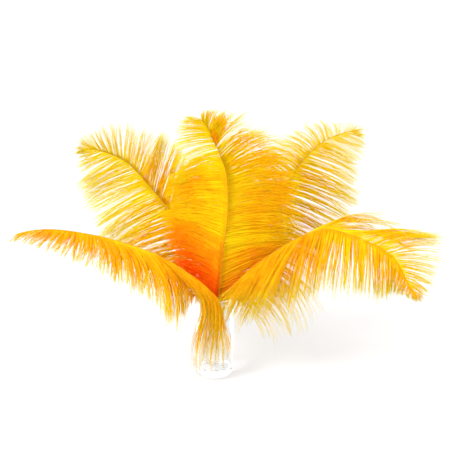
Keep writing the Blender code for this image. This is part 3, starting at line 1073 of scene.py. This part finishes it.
# The plume that arches over to the right, with its basal barbs crossing over the rim.
FRONT_RIGHT = Feather(
    node="feather_front_right",
    quill=((-.008, -.004, .0098), (.001, -.0035, .058)),
    shaft=((.008, -.004, .101), (.020, -.009, .117), (.045, -.018, .146), (.068, -.026, .166),
           (.094, -.037, .187), (.128, -.052, .205), (.150, -.060, .203),
           (.172, -.068, .197), (.204, -.077, .180), (.221, -.083, .151), (.231, -.086, .135)),
    left=Vane(lay(
        (.10, .060, -20, 84, .1, 1.4), (.20, .078, -25, 72, .1, 1.2), (.30, .078, -40, 56, .1, 1.3, .7),
        (.40, .058, -60, 34, .0, 1.25, .8), (.48, .076, -95, 20, -.1, 1.05, .9),
        (.55, .084, -130, 17, .0, .75, .85), (.62, .088, -150, 27, .1, .6, .8),
        (.70, .082, -158, 42, .1, .6, .8), (.82, .058, -165, 52, .0, .5), (.92, .032, -165, 48, .0, .3),
        (1.0, .008, -165, 20, .0, .2),
    ), barbs=1040, deep=0.3, dye=-0.1, groom=LOOSE),
    right=Vane(lay(
        (.08, .050, 60, 150, .0, 1.0, .25), (.18, .074, 60, 158, .0, .9, .28),
        (.28, .094, 58, 158, .0, .8, .32), (.36, .104, 55, 154, .0, .8, .5),
        (.44, .098, 50, 140, .0, 1.0, .9), (.50, .086, 45, 118, .0, 1.3), (.58, .078, 38, 92, .0, 1.5),
        (.66, .070, 32, 72, .0, 1.6), (.75, .060, 25, 60, .0, 1.4), (.84, .040, 18, 52, .0, .9),
        (.93, .018, 10, 45, .0, .5), (1.0, .006, 40, 20, .0, .3),
    ), barbs=1400, deep=0.3, groom=HANGING),
    locks=(Lock(guides=(
        ((.032, -.013, .129), (.021, -.022, .122), (.011, -.030, .115), (.003, -.033, .104)),
        ((.045, -.018, .146), (.033, -.028, .133), (.021, -.034, .116), (.011, -.036, .099),
         (.007, -.036, .086)),
        ((.059, -.023, .158), (.047, -.033, .141), (.033, -.039, .118), (.022, -.041, .097),
         (.016, -.041, .078)),
        ((.073, -.028, .170), (.061, -.037, .148), (.046, -.043, .120), (.035, -.045, .098),
         (.030, -.045, .079)),
        ((.088, -.034, .181), (.077, -.042, .157), (.062, -.048, .128), (.051, -.050, .107),
         (.044, -.050, .088)),
    ), strands=180, shortest=0.6, groom=WISPY), Lock(guides=(
        ((.014, -.008, .110), (.031, -.022, .103), (.045, -.033, .088),
         (.054, -.038, .069), (.057, -.038, .054)),
        ((.028, -.013, .124), (.052, -.026, .114), (.072, -.036, .096),
         (.084, -.040, .075), (.089, -.041, .058)),
        ((.047, -.020, .143), (.073, -.034, .132), (.094, -.043, .113),
         (.105, -.047, .088), (.108, -.048, .065)),
        ((.066, -.027, .162), (.091, -.040, .150), (.110, -.048, .132),
         (.119, -.051, .114), (.123, -.052, .101)),
    ), strands=190, shortest=0.5, scatter=0.004, dye=-0.12, groom=WISPY),),
    seed=15,
    finish=DyedBarbs("front_right_fluff", thin=(0.97, 0.70, 0.005), tip=(0.80, 0.71, 0.02),
                     depth=0.24, glow=0.42),
)

# Back to front.
FEATHERS = (BACK_LEFT, BACK_RIGHT, CENTER, FRONT_LEFT, FRONT_RIGHT)


@dataclass
class Studio:
    """The plain pale sheet, the soft lights and the camera.  Each lamp has a place, a size and a power."""

    reach: float = 6.0
    sky: float = 1.85
    key_lamp: tuple = ((-1.1, -1.0, 1.5), 0.8, 42.0)
    fill_lamp: tuple = ((0.4, -1.6, 0.4), 1.4, 15.0)
    lit: tuple = (0.0, 0.0, 0.15)
    elevation: float = 18.0
    distance: float = 1.29
    lens: float = 85.0
    sensor: float = 36.0
    target: tuple = (0.0156, 0.0, 0.190)
    clear_bounces: int = 48
    fluff_bounces: int = 8

    def build_sheet(self) -> bpy.types.Object:
        """Lay the wide pale sheet under and behind the vase.

        Returns:
            The sheet.
        """
        bpy.ops.object.select_all(action="DESELECT")
        bpy.ops.mesh.primitive_plane_add(size=2.0 * self.reach, location=(0.0, 0.0, 0.0))
        sheet = bpy.context.object
        sheet.name = "pale_sheet"
        sheet.data.materials.append(PaleBackdrop().build())
        return sheet

    def build_lights(self) -> None:
        """Add the sky light and the soft lamps."""
        world = bpy.data.worlds.new("soft_white")
        bpy.context.scene.world = world
        world.use_nodes = True
        tree = world.node_tree
        fill(tree, tree.nodes["Background"], {"Color": (1.0, 1.0, 1.0), "Strength": self.sky})
        for name in ("key_lamp", "fill_lamp"):
            place, size, power = getattr(self, name)
            bpy.ops.object.light_add(type="AREA", location=place)
            lamp = bpy.context.object
            lamp.name = name
            lamp.data.size = size
            lamp.data.energy = power
            aim = Vector(self.lit) - Vector(place)
            lamp.rotation_euler = aim.to_track_quat("-Z", "Y").to_euler()

    def build_camera(self) -> bpy.types.Object:
        """Set up the camera, a little above the bunch and looking down at it.

        Returns:
            The camera.
        """
        angle = math.radians(self.elevation)
        target = Vector(self.target)
        place = target + Vector((0.0, -math.cos(angle), math.sin(angle))) * self.distance
        bpy.ops.object.camera_add(location=place)
        camera = bpy.context.object
        camera.name = "studio_camera"
        camera.data.lens = self.lens
        camera.data.sensor_width = self.sensor
        camera.rotation_euler = (target - place).to_track_quat("-Z", "Y").to_euler()
        bpy.context.scene.camera = camera
        return camera

    def build(self) -> None:
        """Set up the whole studio, with enough bounces for thick glass and for light inside the fluff."""
        self.build_sheet()
        self.build_lights()
        self.build_camera()
        scene = bpy.context.scene
        scene.view_settings.view_transform = "Standard"
        scene.cycles.max_bounces = self.clear_bounces
        scene.cycles.glossy_bounces = self.clear_bounces
        scene.cycles.transmission_bounces = self.clear_bounces
        scene.cycles.diffuse_bounces = self.fluff_bounces


def report(piece: bpy.types.Object) -> None:
    """Log a finished piece and its triangle count."""
    triangles = sum(len(face.vertices) - 2 for face in piece.data.polygons)
    LOG.info("%s: %d triangles", piece.name, triangles)


def main() -> None:
    """Build the vase, the plumes and the studio, and log each piece's triangle count."""
    logging.basicConfig(level=logging.INFO, format="%(name)s: %(message)s")
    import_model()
    vase = Vase()
    glass = vase.build()
    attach(glass, "root")
    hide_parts("vase")
    report(glass)
    for feather in FEATHERS:
        for piece in feather.build():
            report(piece)
    Studio().build()


if __name__ == "__main__":
    main()
